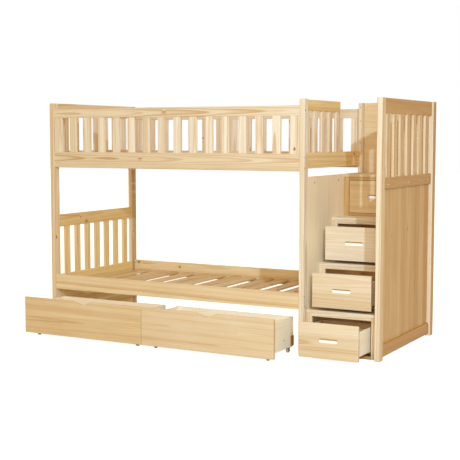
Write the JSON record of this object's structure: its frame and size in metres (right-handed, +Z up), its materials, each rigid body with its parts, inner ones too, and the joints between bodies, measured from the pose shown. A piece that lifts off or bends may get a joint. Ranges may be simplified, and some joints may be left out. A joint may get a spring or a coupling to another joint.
{
  "type": "bunk bed with storage stairs",
  "caption": "Pine bunk bed with slatted guards and decks, a staircase of drawers at one end and two rolling drawers under the lower bed.",
  "frame": {"origin": "centre of the outline's bottom at floor level, with the drawers drawn as the picture shows them", "axes": "+X from the left end to the staircase end, +Y from the front to the back, +Z up"},
  "size_m": [2.52, 1.4, 1.62],
  "materials": {
    "pine": "clear satin lacquer on pine",
    "slat_pine": "planed pine",
    "panel_pine": "clear satin lacquer on glued pine",
    "drawer_front_pine": "clear satin lacquer on pine",
    "drawer_box_wood": "pale planed wood",
    "block_wood": "dark hardwood",
    "caster_steel": "zinc plated",
    "bolt_steel": "browned steel",
    "wheel_nylon": "cream nylon"
  },
  "bodies": {
    "bed": {"post_front_left": "pine", "post_back_left": "pine", "post_front_middle": "pine", "post_back_middle": "pine", "post_front_right": "pine", "post_back_right": "pine", "upper_rail_front": "pine", "upper_rail_back": "pine", "guard_board_front": "pine", "guard_board_back": "pine", "guard_slats_front": "pine", "guard_slats_back": "pine", "lower_rail_front": "pine", "lower_rail_back": "pine", "lower_deck_cleats": "slat_pine", "lower_deck_slats": "slat_pine", "upper_deck_cleats": "slat_pine", "upper_deck_slats": "slat_pine", "left_end_top_board": "pine", "left_end_cross_rail": "pine", "left_end_slats": "pine", "headboard_top_rail": "pine", "headboard_bottom_rail": "pine", "headboard_slats": "pine", "middle_end_cross_rail": "pine", "entry_guard_board": "pine", "entry_guard_slats": "pine", "right_end_top_board": "pine", "right_end_slats": "pine", "right_end_middle_rail": "pine", "right_end_planks": "panel_pine", "right_end_bottom_rail": "pine", "stair_side_panel": "panel_pine", "stair_back_panel": "panel_pine", "stair_treads": "pine", "stair_landing_board": "pine", "stair_frame_stiles": "pine", "stair_frame_rails": "pine", "stair_drawer_runners": "pine", "rail_bolts": "bolt_steel"},
    "stair_drawer_1": {"stair_drawer_front_1": "drawer_front_pine", "stair_drawer_box_1": "drawer_box_wood"},
    "stair_drawer_2": {"stair_drawer_front_2": "drawer_front_pine", "stair_drawer_box_2": "drawer_box_wood"},
    "stair_drawer_3": {"stair_drawer_front_3": "drawer_front_pine", "stair_drawer_box_3": "drawer_box_wood"},
    "stair_drawer_4": {"stair_drawer_front_4": "drawer_front_pine", "stair_drawer_box_4": "drawer_box_wood"},
    "bed_drawer_left": {"bed_drawer_front_left": "drawer_front_pine", "bed_drawer_box_left": "drawer_box_wood", "bed_drawer_blocks_left": "block_wood", "bed_drawer_casters_left": "caster_steel"},
    "wheels_left_front": {"bed_drawer_wheels_left_front": "wheel_nylon"},
    "wheels_left_back": {"bed_drawer_wheels_left_back": "wheel_nylon"},
    "bed_drawer_right": {"bed_drawer_front_right": "drawer_front_pine", "bed_drawer_box_right": "drawer_box_wood", "bed_drawer_blocks_right": "block_wood", "bed_drawer_casters_right": "caster_steel"},
    "wheels_right_front": {"bed_drawer_wheels_right_front": "wheel_nylon"},
    "wheels_right_back": {"bed_drawer_wheels_right_back": "wheel_nylon"}
  },
  "joints": [
    {"name": "stair_drawer_1_slide", "type": "slide", "parent": "bed", "child": "stair_drawer_1", "axis": [0, -1, 0], "range_m": [-0.205, 0.1]},
    {"name": "stair_drawer_2_slide", "type": "slide", "parent": "bed", "child": "stair_drawer_2", "axis": [0, -1, 0], "range_m": [-0.205, 0.1]},
    {"name": "stair_drawer_3_slide", "type": "slide", "parent": "bed", "child": "stair_drawer_3", "axis": [0, -1, 0], "range_m": [-0.205, 0.1]},
    {"name": "stair_drawer_4_slide", "type": "slide", "parent": "bed", "child": "stair_drawer_4", "axis": [0, -1, 0], "range_m": [0, 0.3]},
    {"name": "bed_drawer_left_roll", "type": "slide", "parent": "bed", "child": "bed_drawer_left", "axis": [0, -1, 0], "range_m": [-0.354, 0.15]},
    {"name": "wheels_left_front_spin", "type": "hinge", "parent": "bed_drawer_left", "child": "wheels_left_front", "pos_m": [-0.74075, -0.63, 0.016], "axis": [1, 0, 0], "continuous": true},
    {"name": "wheels_left_back_spin", "type": "hinge", "parent": "bed_drawer_left", "child": "wheels_left_back", "pos_m": [-0.74075, -0.35, 0.016], "axis": [1, 0, 0], "continuous": true},
    {"name": "bed_drawer_right_roll", "type": "slide", "parent": "bed", "child": "bed_drawer_right", "axis": [0, -1, 0], "range_m": [-0.354, 0.15]},
    {"name": "wheels_right_front_spin", "type": "hinge", "parent": "bed_drawer_right", "child": "wheels_right_front", "pos_m": [0.22575, -0.63, 0.016], "axis": [1, 0, 0], "continuous": true},
    {"name": "wheels_right_back_spin", "type": "hinge", "parent": "bed_drawer_right", "child": "wheels_right_back", "pos_m": [0.22575, -0.35, 0.016], "axis": [1, 0, 0], "continuous": true}
  ],
  "couplings": [
    {"joint": "wheels_left_front_spin", "follows": "bed_drawer_left_roll", "rad_per_m": 62.5},
    {"joint": "wheels_left_back_spin", "follows": "bed_drawer_left_roll", "rad_per_m": 62.5},
    {"joint": "wheels_right_front_spin", "follows": "bed_drawer_right_roll", "rad_per_m": 62.5},
    {"joint": "wheels_right_back_spin", "follows": "bed_drawer_right_roll", "rad_per_m": 62.5}
  ]
}
